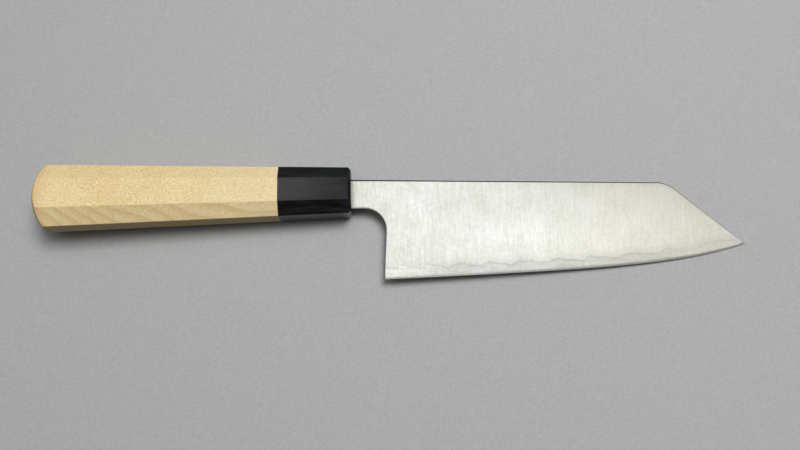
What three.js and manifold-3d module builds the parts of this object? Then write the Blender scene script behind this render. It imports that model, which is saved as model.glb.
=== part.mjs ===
// A bunka kitchen knife: a three-layer blade with a hidden tang, an octagonal wooden handle
// with a black ferrule, the dowel that joins the two, and the resin that beds the tang.
// X runs from the butt to the tip, Y from the edge to the spine, Z up out of the right face.
// While the pieces are made, x counts from the ferrule's front face, y from the handle's axis
// and z from the blade's middle plane. Lengths are in millimetres.

import * as THREE from "three";
import { mergeVertices } from "three/addons/utils/BufferGeometryUtils.js";
import Module from "manifold-3d";

const { lerp, degToRad, smoothstep } = THREE.MathUtils;

// Outline of the blade.
const HEEL_X = 14.75; // corner of the heel, ahead of the ferrule
const HEEL_Y = -40.53;
const EDGE_RUN = 164.5; // heel to tip along X
const EDGE_SLOPE = 0.0261; // the edge closes on the spine by this much per millimetre
const BELLY_RISE = 8.47; // lift of the edge at the tip
const BELLY_LENGTH = 30.8; // length over which that lift grows
const NECK_TOP = 6.0; // spine at the ferrule
const SPINE_SLOPE = -0.0283;
const CLIP_ANGLE = 41.3; // degrees, slope of the straight line from the shoulder to the tip
const SHOULDER_RADIUS = 13.5; // rounding between the spine and that line
const NECK_BOTTOM = -7.5;
const NECK_RUN = 5.6; // straight underside of the neck
const CHOIL_RADIUS = 10.2; // rounded notch between the neck and the heel
const HEEL_LEAN = 1.05; // the heel's corner lies behind the end of the notch

// Thickness of the blade and its layers.
const NECK_THICKNESS = 2.2;
const TIP_THICKNESS = 1.3; // spine at full height above the tip
const BEVEL_WIDTH = 0.9; // sharpened bevel along the edge
const BEVEL_THICKNESS = 0.36; // blade at the top of that bevel
const GRIND_FULLNESS = 0.35; // bulge of the ground faces, 0 for flat ones
const SPINE_EASE = 0.5; // height of the eased corner along the spine
const EASE_SHARE = 0.45; // share of the cladding taken off by that corner
const CORE_SHARE = 0.31; // share of the spine's thickness that is core steel
const LINE_HEIGHT = 3.5; // where the core comes out of the cladding, above the bevel
const LINE_AT_HEEL = 1.1; // that line stands higher at the heel
const LINE_FADE = 40; // length over which it comes down
const LINE_CREST = 8.65; // first crest of the wavy line, ahead of the heel
const LINE_PITCH = 12.2; // length of its first wave
const LINE_STRETCH = 0.76; // each wave is longer than the one before
const LINE_WAVE = 0.75; // height of the waves
const LINE_RIPPLE = 0.25; // height of the ripple on them
const LINE_BLEND = 3; // the core is wavy only this far above the line

// Tang inside the handle.
const NECK_INSET = 4; // the neck reaches this far into the ferrule
const SHOULDER_RUN = 1.5; // length of the step from the neck to the tang
const TANG_LENGTH = 92;
const TANG_ROOT = 10.5; // height of the tang behind the step
const TANG_END = 6;
const TANG_END_THICKNESS = 1.8;

// Handle: full height and thickness of its eight-sided section and the width of its top flat,
// at the ferrule's face and, before the dome is cut, at the butt.
const FRONT = { height: 21.2, thickness: 18.2, topFlat: 10.2 };
const BUTT = { height: 29.2, thickness: 22.7, topFlat: 13.4 };
const FACET_ANGLE = 32.6; // degrees, slope of the four slanting facets
const HANDLE_LENGTH = 144.6;
const DOME_RADIUS = 22; // rounded butt end
const FERRULE_LENGTH = 32.9;
const FERRULE_CHAMFER = 1.2;
const DOWEL_SETBACK = 1.5; // the dowel starts this far behind the tang's step
const DOWEL_WALL = 1.5; // wood above and below the tang's slot
const DOWEL_IN_BODY = 25; // depth of the dowel's hole in the wood
const DOWEL_CHAMFER = 0.6;
const BEDDING = 0.5; // resin around the tang
const BEDDING_END = 2; // resin behind the tang
const MOUTH_RECESS = 0.3; // resin stays behind the ferrule's face
const GLUE_LINE = 0.04; // film between glued faces

// Fineness of curved surfaces.
const STATION = 1.7; // spacing of the blade's cross-sections
const NOTCH_STEPS = 7;
const TURN_STEPS = 40;
const DOME_STEPS = 8;
const DOME_SPAN = 60; // degrees of the dome's arc, from its top

const TIP_X = HEEL_X + EDGE_RUN;
const TANG_ROOT_X = -NECK_INSET - SHOULDER_RUN;
const DOWEL_RADIUS = TANG_ROOT / 2 + BEDDING + DOWEL_WALL;
const DOWEL_FRONT = TANG_ROOT_X - DOWEL_SETBACK;
const DOWEL_BACK = -FERRULE_LENGTH - DOWEL_IN_BODY;
const NOTCH_END_X = NECK_RUN + CHOIL_RADIUS;
const NOTCH_END_Y = NECK_BOTTOM - CHOIL_RADIUS;

// Rows of the blade's lattice, from the edge up to the spine.
const EDGE_ROW = 0;
const LINE_ROW = 2;
const NOTCH_ROW = 4;
const SPINE_ROW = 6;

const wasm = await Module();
wasm.setup();

// Height of the edge: a straight line with a lift that grows towards the tip.
function edgeY(x) {
  return HEEL_Y + EDGE_SLOPE * (x - HEEL_X) + BELLY_RISE * Math.exp((x - TIP_X) / BELLY_LENGTH);
}

function spineY(x) {
  return NECK_TOP + SPINE_SLOPE * x;
}

function clipY(x) {
  return edgeY(TIP_X) - (x - TIP_X) * Math.tan(degToRad(CLIP_ANGLE));
}

// The rounding where the spine turns down to the tip: its centre and the x of both ends.
function shoulderArc() {
  const spineAngle = Math.atan(SPINE_SLOPE);
  const clipAngle = -degToRad(CLIP_ANGLE);
  const cornerX = (clipY(0) - spineY(0)) / (SPINE_SLOPE - Math.tan(clipAngle));
  const reach = SHOULDER_RADIUS * Math.tan((spineAngle - clipAngle) / 2);
  const start = cornerX - reach * Math.cos(spineAngle);
  return {
    start,
    end: cornerX + reach * Math.cos(clipAngle),
    x: start + SHOULDER_RADIUS * Math.sin(spineAngle),
    y: spineY(start) - SHOULDER_RADIUS * Math.cos(spineAngle),
  };
}

const SHOULDER = shoulderArc();

// Upper outline of the blade: spine, rounded shoulder, straight line to the tip.
function topY(x) {
  if (x < SHOULDER.start) return spineY(x);
  if (x > SHOULDER.end) return clipY(x);
  return SHOULDER.y + Math.sqrt(SHOULDER_RADIUS ** 2 - (x - SHOULDER.x) ** 2);
}

// Half the thickness of the spine, or of the tang behind the ferrule's face.
function spineHalf(x) {
  if (x < 0) return lerp(NECK_THICKNESS, TANG_END_THICKNESS, -x / TANG_LENGTH) / 2;
  return lerp(NECK_THICKNESS, TIP_THICKNESS, x / TIP_X) / 2;
}

// Half the thickness of the ground blade at a height above the edge.
function groundHalf(x, height) {
  const bevel = BEVEL_THICKNESS / 2;
  if (height <= BEVEL_WIDTH) return (bevel * height) / BEVEL_WIDTH;
  const up = (height - BEVEL_WIDTH) / (spineY(x) - edgeY(x) - BEVEL_WIDTH);
  return bevel + (spineHalf(x) - bevel) * up * (1 + GRIND_FULLNESS * (1 - up));
}

// Height above the edge of the wavy line where the cladding ends.
function lineHeight(x) {
  const along = x - HEEL_X;
  const level = BEVEL_WIDTH + LINE_HEIGHT + LINE_AT_HEEL * Math.exp(-along / LINE_FADE);
  const length = Math.sqrt(LINE_PITCH ** 2 + 2 * LINE_STRETCH * (along - LINE_CREST));
  const phase = (2 * Math.PI * (length - LINE_PITCH)) / LINE_STRETCH;
  return level + LINE_WAVE * Math.cos(phase) + LINE_RIPPLE * Math.cos(2.4 * phase);
}

// Heights of the seven rows at one cross-section of the given height.
function rowHeights(x, height) {
  const line = Math.min(lineHeight(x), 0.55 * height);
  const notchShare = (NOTCH_END_Y - HEEL_Y) / (topY(NOTCH_END_X) - HEEL_Y);
  const notch = Math.max(notchShare * height, line + 0.3 * (height - line));
  return [
    0,
    Math.min(BEVEL_WIDTH, 0.25 * height),
    line,
    line + Math.min(LINE_BLEND, 0.5 * (notch - line)),
    notch,
    height - Math.min(SPINE_EASE, 0.08 * height),
    height,
  ];
}

// One cross-section of the blade: seven points from the edge to the spine. The sections lean
// with the heel and stand upright further on.
function bladeColumn(edgeX) {
  const lean = HEEL_LEAN * Math.max(0, 1 - (edgeX - HEEL_X) / 20);
  const topX = edgeX + lean;
  const low = edgeY(edgeX);
  const height = topY(topX) - low;
  const heights = rowHeights(edgeX, height);
  const atLine = groundHalf(edgeX, heights[LINE_ROW]);
  return heights.map((up, row) => {
    const x = edgeX + lean * Math.min(1, up / heights[NOTCH_ROW]);
    const ground = groundHalf(edgeX, up);
    const core = row <= LINE_ROW ? ground : Math.min(CORE_SHARE * spineHalf(x), (atLine + ground) / 2);
    const eased = row === SPINE_ROW ? EASE_SHARE * (ground - core) : 0;
    return { x, y: low + up, core, surface: ground - eased };
  });
}

// One cross-section of the neck or tang: only the upper three rows.
function stemColumn(lowX, lowY, highX, highY, lowHalf, ease) {
  const core = CORE_SHARE * spineHalf(highX);
  const half = spineHalf(highX);
  const column = [];
  column[NOTCH_ROW] = { x: lowX, y: lowY, core, surface: lowHalf };
  column[NOTCH_ROW + 1] = { x: highX, y: highY - SPINE_EASE, core, surface: half };
  column[SPINE_ROW] = { x: highX, y: highY, core, surface: half - ease * (half - core) };
  return column;
}

// Tang and neck inside the handle: x, lower and upper side.
const STEM = [
  { x: -TANG_LENGTH, low: -TANG_END / 2, high: TANG_END / 2 },
  { x: TANG_ROOT_X, low: -TANG_ROOT / 2, high: TANG_ROOT / 2 },
  { x: -NECK_INSET, low: NECK_BOTTOM, high: NECK_TOP },
];

// All cross-sections from the tang's end to the tip.
function bladeLattice() {
  const columns = STEM.map(({ x, low, high }) => stemColumn(x, low, x, high, spineHalf(x), 0));
  columns.push(stemColumn(0, NECK_BOTTOM, 0, NECK_TOP, spineHalf(0), EASE_SHARE));
  const heel = bladeColumn(HEEL_X);
  for (let step = 0; step < NOTCH_STEPS; step++) {
    const share = step / NOTCH_STEPS;
    const angle = (share * Math.PI) / 2;
    const lowX = NECK_RUN + CHOIL_RADIUS * Math.sin(angle);
    const lowY = NOTCH_END_Y + CHOIL_RADIUS * Math.cos(angle);
    const highX = lerp(NECK_RUN, NOTCH_END_X, share);
    const lowHalf = lerp(spineHalf(0), heel[NOTCH_ROW].surface, smoothstep(share, 0, 1));
    columns.push(stemColumn(lowX, lowY, highX, topY(highX), lowHalf, EASE_SHARE));
  }
  columns.push(heel);
  const stations = Math.ceil(EDGE_RUN / STATION);
  for (let i = 1; i < stations; i++) columns.push(bladeColumn(HEEL_X + (EDGE_RUN * i) / stations));
  const tip = { x: TIP_X, y: edgeY(TIP_X), core: 0, surface: 0 };
  columns.push(new Array(SPINE_ROW + 1).fill(tip));
  return columns;
}

// The closed solid between two heights over the lattice, from one row up to the spine. Where
// the two heights meet, as along the edge, both faces share one corner and need no wall.
function layer(lattice, firstRow, topOf, bottomOf) {
  const position = [];
  const index = [];
  const corners = new Map();
  const rims = new Map();
  const vertex = (point, z) => position.push(point.x, point.y, z) / 3 - 1;
  const cornersOf = (point) => {
    if (!corners.has(point)) {
      const top = vertex(point, topOf(point));
      const closed = topOf(point) - bottomOf(point) < 1e-9;
      const bottom = closed ? top : vertex(point, bottomOf(point));
      corners.set(point, { id: corners.size, top, bottom });
    }
    return corners.get(point);
  };
  const face = (a, b, c) => {
    if (a !== b && b !== c && c !== a) index.push(a, b, c);
  };
  const edge = (a, b) => {
    const back = `${b.id} ${a.id}`;
    if (rims.has(back)) rims.delete(back);
    else rims.set(`${a.id} ${b.id}`, [a, b]);
  };
  const cell = (...points) => {
    const [a, b, c] = points.map(cornersOf);
    if (a === b || b === c || c === a) return;
    face(a.top, b.top, c.top);
    face(a.bottom, c.bottom, b.bottom);
    edge(a, b);
    edge(b, c);
    edge(c, a);
  };
  for (let i = 0; i + 1 < lattice.length; i++) {
    const [left, right] = [lattice[i], lattice[i + 1]];
    for (let row = firstRow; row < SPINE_ROW; row++) {
      if (!left[row] || !right[row]) continue;
      cell(left[row], right[row], right[row + 1]);
      cell(left[row], right[row + 1], left[row + 1]);
    }
  }
  for (const [a, b] of rims.values()) {
    face(b.top, a.top, a.bottom);
    face(b.top, a.bottom, b.bottom);
  }
  const geometry = new THREE.BufferGeometry();
  geometry.setAttribute("position", new THREE.Float32BufferAttribute(position, 3));
  return geometry.setIndex(index);
}

// A closed skin over rings of points, given in order of growing x.
function loft(rings) {
  const count = rings[0].length;
  const last = (rings.length - 1) * count;
  const index = [];
  for (let start = 0; start < last; start += count) {
    for (let i = 0; i < count; i++) {
      const a = start + i;
      const b = start + ((i + 1) % count);
      index.push(a, b, b + count, a, b + count, a + count);
    }
  }
  for (let i = 1; i + 1 < count; i++) {
    index.push(0, i + 1, i);
    index.push(last, last + i, last + i + 1);
  }
  const geometry = new THREE.BufferGeometry();
  geometry.setAttribute("position", new THREE.Float32BufferAttribute(rings.flat(2), 3));
  return geometry.setIndex(index);
}

// Ring of the eight-sided handle at x, drawn in on all sides by an inset. One slope for the
// slanting facets along the whole handle keeps them flat.
function octagon(x, inset = 0) {
  const half = (size) => lerp(FRONT[size], BUTT[size], -x / HANDLE_LENGTH) / 2;
  const high = half("height") - inset;
  const thick = half("thickness") - inset;
  const top = half("topFlat") - inset * Math.tan(degToRad(FACET_ANGLE / 2));
  const side = thick - (high - top) * Math.tan(degToRad(FACET_ANGLE));
  return [
    [x, high, -side],
    [x, high, side],
    [x, top, thick],
    [x, -top, thick],
    [x, -high, side],
    [x, -high, -side],
    [x, -top, -thick],
    [x, top, -thick],
  ];
}

// The neck and tang as a plain wedge, larger by a gap, from behind the tang to the front.
function stemWedge(gap, behind, front) {
  const sections = [...STEM, { x: front, low: NECK_BOTTOM, high: NECK_TOP }];
  const rings = sections.map(({ x, low, high }, i) => {
    const at = i === 0 ? x - behind : x;
    const half = spineHalf(Math.min(x, 0)) + gap;
    return [
      [at, high + gap, -half],
      [at, high + gap, half],
      [at, low - gap, half],
      [at, low - gap, -half],
    ];
  });
  return loft(rings);
}

// A body turned about the handle's axis from pairs of x and radius, in order of growing x.
function turned(profile) {
  const points = profile.map(([x, radius]) => new THREE.Vector2(radius, x));
  return new THREE.LatheGeometry(points, TURN_STEPS).rotateZ(-Math.PI / 2);
}

// A closed geometry as a solid that can be cut.
function solidOf(geometry) {
  const bare = new THREE.BufferGeometry();
  bare.setAttribute("position", geometry.getAttribute("position"));
  bare.setIndex(geometry.index);
  const merged = mergeVertices(bare, 1e-4);
  const kept = [];
  for (let i = 0; i < merged.index.count; i += 3) {
    const [a, b, c] = merged.index.array.slice(i, i + 3);
    if (a !== b && b !== c && c !== a) kept.push(a, b, c);
  }
  return new wasm.Manifold(
    new wasm.Mesh({
      numProp: 3,
      vertProperties: merged.attributes.position.array,
      triVerts: new Uint32Array(kept),
    }),
  );
}

function geometryOf(solid) {
  const mesh = solid.getMesh();
  const geometry = new THREE.BufferGeometry();
  geometry.setAttribute("position", new THREE.BufferAttribute(mesh.vertProperties, 3));
  return geometry.setIndex(new THREE.BufferAttribute(mesh.triVerts, 1));
}

const slot = solidOf(stemWedge(BEDDING + GLUE_LINE, BEDDING_END + GLUE_LINE, 1));

// Hole for the dowel, a glue line wider and longer than the dowel itself.
function dowelHole() {
  const radius = DOWEL_RADIUS + GLUE_LINE;
  return solidOf(
    turned([
      [DOWEL_BACK - GLUE_LINE, 0],
      [DOWEL_BACK - GLUE_LINE, radius],
      [DOWEL_FRONT + GLUE_LINE, radius],
      [DOWEL_FRONT + GLUE_LINE, 0],
    ]),
  );
}

function makeFerrule() {
  const rings = [octagon(-FERRULE_LENGTH), octagon(-FERRULE_CHAMFER), octagon(0, FERRULE_CHAMFER)];
  return solidOf(loft(rings)).subtract(dowelHole()).subtract(slot);
}

// The wooden body: the tapering octagon ends in a dome, and the dowel's hole and the tang's
// slot open at its front.
function makeBody() {
  const front = -FERRULE_LENGTH - GLUE_LINE;
  const outline = [];
  for (let step = 0; step <= DOME_STEPS; step++) {
    const angle = degToRad((DOME_SPAN * step) / DOME_STEPS);
    outline.push([DOME_RADIUS * (1 - Math.cos(angle)) - HANDLE_LENGTH, DOME_RADIUS * Math.sin(angle)]);
  }
  const [domeEnd] = outline.at(-1);
  const envelope = turned([...outline, [domeEnd, BUTT.height], [0, BUTT.height], [0, 0]]);
  return solidOf(loft([octagon(-HANDLE_LENGTH), octagon(front)]))
    .intersect(solidOf(envelope))
    .subtract(dowelHole())
    .subtract(slot);
}

function makeDowel() {
  const body = turned([
    [DOWEL_BACK, 0],
    [DOWEL_BACK, DOWEL_RADIUS - DOWEL_CHAMFER],
    [DOWEL_BACK + DOWEL_CHAMFER, DOWEL_RADIUS],
    [DOWEL_FRONT - DOWEL_CHAMFER, DOWEL_RADIUS],
    [DOWEL_FRONT, DOWEL_RADIUS - DOWEL_CHAMFER],
    [DOWEL_FRONT, 0],
  ]);
  return solidOf(body).subtract(slot);
}

function makeBedding() {
  const outer = solidOf(stemWedge(BEDDING, BEDDING_END, -MOUTH_RECESS));
  return outer.subtract(solidOf(stemWedge(GLUE_LINE, GLUE_LINE, 1)));
}

const knife = new THREE.Group();
knife.name = "bunka_knife";

function addPiece(name, geometry, color, roughness, metalness) {
  const flat = geometry.index ? geometry.toNonIndexed() : geometry;
  flat.computeVertexNormals();
  const piece = new THREE.Mesh(flat, new THREE.MeshStandardMaterial({ color, roughness, metalness }));
  piece.name = name;
  knife.add(piece);
}

const lattice = bladeLattice();
const coreTop = (point) => Math.min(point.core, point.surface);
addPiece("blade_core", layer(lattice, EDGE_ROW, coreTop, (p) => -coreTop(p)), 0xa9adb1, 0.35, 1);
addPiece("right_cladding", layer(lattice, LINE_ROW, (p) => p.surface, (p) => p.core), 0xcfd2d4, 0.4, 1);
addPiece("left_cladding", layer(lattice, LINE_ROW, (p) => -p.core, (p) => -p.surface), 0xcfd2d4, 0.4, 1);
addPiece("ferrule", geometryOf(makeFerrule()), 0x141416, 0.25, 0);
addPiece("handle_body", geometryOf(makeBody()), 0xdfc99c, 0.65, 0);
addPiece("dowel", geometryOf(makeDowel()), 0xb98f5e, 0.7, 0);
addPiece("tang_bedding", geometryOf(makeBedding()), 0x8a6b3a, 0.5, 0);

// The part's origin is the middle of its box, at the bottom.
const box = new THREE.Box3().setFromObject(knife);
knife.position.set(-(box.min.x + box.max.x) / 2, -(box.min.y + box.max.y) / 2, -box.min.z);

export default knife;
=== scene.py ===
"""A bunka knife on a pale floor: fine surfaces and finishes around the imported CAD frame.

Shapes are worked out in the maker's own frame, in millimetres: x from the ferrule's front face
towards the tip, y from the handle's axis towards the spine, z from the blade's middle plane
out of its right face. place() carries them to the row frame, in metres.
"""

import math

import bmesh
import bpy
import numpy as np
from mathutils import Matrix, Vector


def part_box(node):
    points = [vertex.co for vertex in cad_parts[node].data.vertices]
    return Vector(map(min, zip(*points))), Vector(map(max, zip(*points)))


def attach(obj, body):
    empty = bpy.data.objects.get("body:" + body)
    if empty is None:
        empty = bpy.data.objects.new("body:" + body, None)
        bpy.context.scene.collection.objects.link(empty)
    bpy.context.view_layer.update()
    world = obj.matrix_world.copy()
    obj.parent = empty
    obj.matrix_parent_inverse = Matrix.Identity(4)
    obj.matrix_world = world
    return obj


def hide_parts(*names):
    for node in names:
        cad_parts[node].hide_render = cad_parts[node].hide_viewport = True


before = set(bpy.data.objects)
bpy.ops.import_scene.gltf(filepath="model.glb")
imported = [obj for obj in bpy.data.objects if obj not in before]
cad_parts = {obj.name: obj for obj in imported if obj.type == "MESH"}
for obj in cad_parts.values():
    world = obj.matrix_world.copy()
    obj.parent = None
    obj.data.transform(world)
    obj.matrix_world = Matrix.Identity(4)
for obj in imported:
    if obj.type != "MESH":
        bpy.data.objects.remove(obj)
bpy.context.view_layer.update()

MM = 0.001
TINY = 1e-9  # keeps a division from meeting zero

# Outline of the blade.
HEEL_X = 14.75  # corner of the heel, ahead of the ferrule
HEEL_Y = -40.53
EDGE_RUN = 164.5  # heel to tip along x
TIP_X = HEEL_X + EDGE_RUN
EDGE_SLOPE = 0.0261
BELLY_RISE = 8.47  # lift of the edge at the tip
BELLY_LENGTH = 30.8  # length over which that lift grows
NECK_TOP = 6.0  # spine at the ferrule
SPINE_SLOPE = -0.0283
CLIP_SLOPE = math.tan(math.radians(41.3))  # straight line from the shoulder down to the tip
SHOULDER_RADIUS = 13.5  # rounding between the spine and that line
NECK_BOTTOM = -7.5
NECK_RUN = 5.6  # straight underside of the neck
CHOIL_RADIUS = 10.2  # rounded notch between the neck and the heel
HEEL_LEAN = 1.05  # the heel's corner lies behind the end of the notch
LEAN_FADE = 20.0  # length over which the stations lose that lean
NOTCH_END_X = NECK_RUN + CHOIL_RADIUS
NOTCH_END_Y = NECK_BOTTOM - CHOIL_RADIUS

# Thickness of the blade and its three layers.
NECK_THICKNESS = 2.2
TIP_THICKNESS = 1.3
BEVEL_WIDTH = 0.9  # sharpened bevel along the edge
BEVEL_THICKNESS = 0.36  # blade at the top of that bevel
GRIND_FULLNESS = 0.35  # bulge of the ground faces, 0 for flat ones
CORE_SHARE = 0.31  # share of the spine's thickness that is core steel
SPINE_EASE_NECK = 0.8  # height of the rounded corner along the spine
SPINE_EASE_TIP = 0.4
NOTCH_EASE = 0.3  # width of the rounded corner around the notch
EASE_SHARE = 0.6  # share of the cladding that these corners take off

# Wavy line where the core comes out of the cladding.
LINE_HEIGHT = 3.5  # above the bevel
LINE_AT_HEEL = 1.1  # the line stands higher at the heel
LINE_FADE = 40.0  # length over which it comes down
LINE_CREST = 8.65  # near the first crest, ahead of the heel
LINE_PITCH = 12.2  # length of the first hump
LINE_STRETCH = 0.76  # each hump is longer than the one before
LINE_WAVE = 0.75  # the humps rise and fall by this
LINE_SKEW = 0.7  # 0 for even humps, towards 1 for ones that are steep on the heel side
LINE_RIPPLE = 0.25  # the ripple on them rises and falls by this
RIPPLE_RATE = 2.4  # ripples in one hump
BESIDE_LINE = 3.0  # one more row follows the line, this far above it
LINE_REACH = 10.0  # distances from the line are kept up to this many millimetres
BEVEL_REACH = 2.0  # heights above the edge are kept up to this many times the bevel's

# Guide rows of the blade from the edge to the upper outline, and the shares of a station's
# height that hold them back where the blade runs out at the tip.
EDGE_GUIDE, BEVEL_GUIDE, LINE_GUIDE, NOTCH_GUIDE, EASE_GUIDE, TOP_GUIDE = 0, 1, 2, 4, 5, 6
BEVEL_LIMIT = 0.25
LINE_LIMIT = 0.55
BESIDE_LIMIT = 0.5  # of the height from the line to the notch's row
NOTCH_LIMIT = 0.3  # of the height above the line
EASE_LIMIT = 0.08

# Tang inside the handle: x, lower and upper side where they change.
TANG_LENGTH = 92.0
TANG_END_THICKNESS = 1.8
TANG_END_HALF = 3.0
TANG_ROOT_HALF = 5.25
NECK_INSET = 4.0  # the neck reaches this far into the ferrule
SHOULDER_RUN = 1.5  # length of the step from the neck to the tang
TANG_ROOT_X = -NECK_INSET - SHOULDER_RUN
STEM_X = np.array([-TANG_LENGTH, TANG_ROOT_X, -NECK_INSET, 0.0])
STEM_LOW = np.array([-TANG_END_HALF, -TANG_ROOT_HALF, NECK_BOTTOM, NECK_BOTTOM])
STEM_HIGH = np.array([TANG_END_HALF, TANG_ROOT_HALF, NECK_TOP, NECK_TOP])

# Eight-sided handle: half height, half thickness and half top flat at the front and the butt.
FRONT_HALVES = np.array([10.6, 9.1, 5.1])
BUTT_HALVES = np.array([14.6, 11.35, 6.7])
FACET_ANGLE = math.radians(32.6)  # slope of the four slanting facets
HANDLE_LENGTH = 144.6
DOME_RADIUS = 22.0  # rounded butt end
FERRULE_LENGTH = 32.9
FERRULE_CHAMFER = 1.2
WOOD_EDGE_RADIUS = 0.5  # rounded ridges between the facets
FERRULE_EDGE_RADIUS = 0.25
DOME_EDGE_REACH = 0.7  # the dome's rim is rounded this far to both sides
CHAMFER_EDGE_REACH = 0.2

# Inside of the handle: the slot for the tang in its resin, and the hole for the dowel.
GLUE_LINE = 0.04  # film between glued faces
BEDDING = 0.5  # resin around the tang
BEDDING_END = 2.0  # resin behind the tang
DOWEL_SETBACK = 1.5  # the dowel starts this far behind the tang's step
DOWEL_WALL = 1.5  # wood above and below the tang's slot
DOWEL_IN_BODY = 25.0
SLOT_GAP = BEDDING + GLUE_LINE
SLOT_END = -TANG_LENGTH - BEDDING_END - GLUE_LINE
HOLE_FRONT = TANG_ROOT_X - DOWEL_SETBACK + GLUE_LINE
HOLE_BACK = -FERRULE_LENGTH - DOWEL_IN_BODY - GLUE_LINE
HOLE_RADIUS = TANG_ROOT_HALF + BEDDING + DOWEL_WALL + GLUE_LINE

# Fineness of the surfaces.
BLADE_STATION = 0.6
HEEL_STATIONS = np.array([0, 0.06, 0.13, 0.21, 0.32])  # across the heel's eased corner
TIP_STATIONS = np.array([0.4, 0.2, 0.08, 0])  # behind the tip
NECK_STATIONS = np.array([-NECK_INSET, -3, -2, -1, 0, 1.5, 3, 4.5])
TANG_STATIONS = 30
NOTCH_STATIONS = 40
ROW_STEPS = (4, 8, 6, 16, 18, 8)  # rows between the seven guide rows of the blade
CORNER_POINTS = 7
SIDE_POINTS = 10
DOME_RINGS = 24
RIM_RINGS = 8
FACET_RINGS = 50
FERRULE_RINGS = 16
CHAMFER_RINGS = 6
BLADE_CREASE = 25  # degrees, folds sharper than this stay crisp
HANDLE_CREASE = 40
JOIN_DISTANCE = 5e-8  # metres, within which points of neighbouring sheets are one
FLOW_MAP = "flow"

ferrule_low, ferrule_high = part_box("ferrule")
core_low, core_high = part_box("blade_core")
MAKER_ORIGIN = np.array(
    [
        ferrule_high.x,
        (ferrule_low.y + ferrule_high.y) / 2,
        (core_low.z + core_high.z) / 2,
    ]
)


def place(points):
    """Points of the maker's frame in millimetres, carried to the row frame in metres."""
    return points * MM + MAKER_ORIGIN


def mix(a, b, share):
    """Straight mix from a to b."""
    return a + (b - a) * share


def smooth(share):
    """Three share squared minus two share cubed, held between 0 and 1."""
    share = np.clip(share, 0, 1)
    return share * share * (3 - 2 * share)


def parabola(start, corner, end, t):
    """Curve from start to end, bent towards corner: weights (1-t) squared, 2t(1-t), t squared."""
    return (1 - t) ** 2 * start + 2 * t * (1 - t) * corner + t**2 * end


def unit(rows):
    """Rows of numbers, each divided by its length."""
    return rows / np.linalg.norm(rows, axis=1, keepdims=True)


# Blade.


def edge_y(x):
    """Edge: a straight line plus a lift that grows as an exponential towards the tip."""
    lift = BELLY_RISE * np.exp((x - TIP_X) / BELLY_LENGTH)
    return HEEL_Y + EDGE_SLOPE * (x - HEEL_X) + lift


def spine_y(x):
    """Spine: a straight line that falls from the neck."""
    return NECK_TOP + SPINE_SLOPE * x


def top_y(x):
    """Upper outline: the spine, then an arc tangent to both, then the straight clip to the tip."""
    clip_at_zero = edge_y(TIP_X) + CLIP_SLOPE * TIP_X
    spine_turn, clip_turn = math.atan(SPINE_SLOPE), -math.atan(CLIP_SLOPE)
    corner_x = (clip_at_zero - NECK_TOP) / (SPINE_SLOPE + CLIP_SLOPE)
    reach = SHOULDER_RADIUS * math.tan((spine_turn - clip_turn) / 2)
    start = corner_x - reach * math.cos(spine_turn)
    end = corner_x + reach * math.cos(clip_turn)
    centre_x = start + SHOULDER_RADIUS * math.sin(spine_turn)
    centre_y = spine_y(start) - SHOULDER_RADIUS * math.cos(spine_turn)
    inside = np.maximum(SHOULDER_RADIUS**2 - (x - centre_x) ** 2, 0)
    arc = centre_y + np.sqrt(inside)
    clip = clip_at_zero - CLIP_SLOPE * x
    return np.where(x < start, spine_y(x), np.where(x > end, clip, arc))


def spine_half(x):
    """Half thickness: straight from the neck to the tip, and from the neck to the tang's end."""
    ahead = mix(NECK_THICKNESS, TIP_THICKNESS, x / TIP_X)
    behind = mix(NECK_THICKNESS, TANG_END_THICKNESS, -x / TANG_LENGTH)
    return np.where(x < 0, behind, ahead) / 2


def ground_half(x, height):
    """Half thickness above the edge: a straight bevel, then a slightly full parabola."""
    bevel = BEVEL_THICKNESS / 2
    up = (height - BEVEL_WIDTH) / (spine_y(x) - edge_y(x) - BEVEL_WIDTH)
    face = bevel + (spine_half(x) - bevel) * up * (1 + GRIND_FULLNESS * (1 - up))
    return np.where(height <= BEVEL_WIDTH, bevel * height / BEVEL_WIDTH, face)


def line_height(x):
    """Wavy line above the edge: skewed humps that grow longer, with a small cosine on top.

    A hump is the angle of a point on a circle, seen from a place off the circle's centre.
    """
    along = x - HEEL_X
    level = BEVEL_WIDTH + LINE_HEIGHT + LINE_AT_HEEL * np.exp(-along / LINE_FADE)
    length = np.sqrt(LINE_PITCH**2 + 2 * LINE_STRETCH * (along - LINE_CREST))
    phase = 2 * np.pi * (length - LINE_PITCH) / LINE_STRETCH
    hump = np.arctan2(LINE_SKEW * np.cos(phase), 1 + LINE_SKEW * np.sin(phase))
    ripple = LINE_RIPPLE * np.cos(RIPPLE_RATE * phase)
    return level + LINE_WAVE * hump / math.asin(LINE_SKEW) + ripple


def guide_rows(x, height):
    """Heights of the seven guide rows.

    They are the edge, the bevel's top, the wavy line, a row beside it, the height of the notch's
    end, the start of the spine's eased corner and the upper outline.
    """
    line = np.minimum(line_height(x), LINE_LIMIT * height)
    heel = edge_y(HEEL_X)
    notch_share = (NOTCH_END_Y - heel) / (top_y(NOTCH_END_X) - heel)
    notch = np.maximum(notch_share * height, mix(line, height, NOTCH_LIMIT))
    beside = line + np.minimum(BESIDE_LINE, BESIDE_LIMIT * (notch - line))
    ease = mix(SPINE_EASE_NECK, SPINE_EASE_TIP, x / TIP_X)
    ease = np.minimum(ease, EASE_LIMIT * height)
    bevel = np.minimum(BEVEL_WIDTH, BEVEL_LIMIT * height)
    return np.stack([0 * x, bevel, line, beside, notch, height - ease, height])


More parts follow.
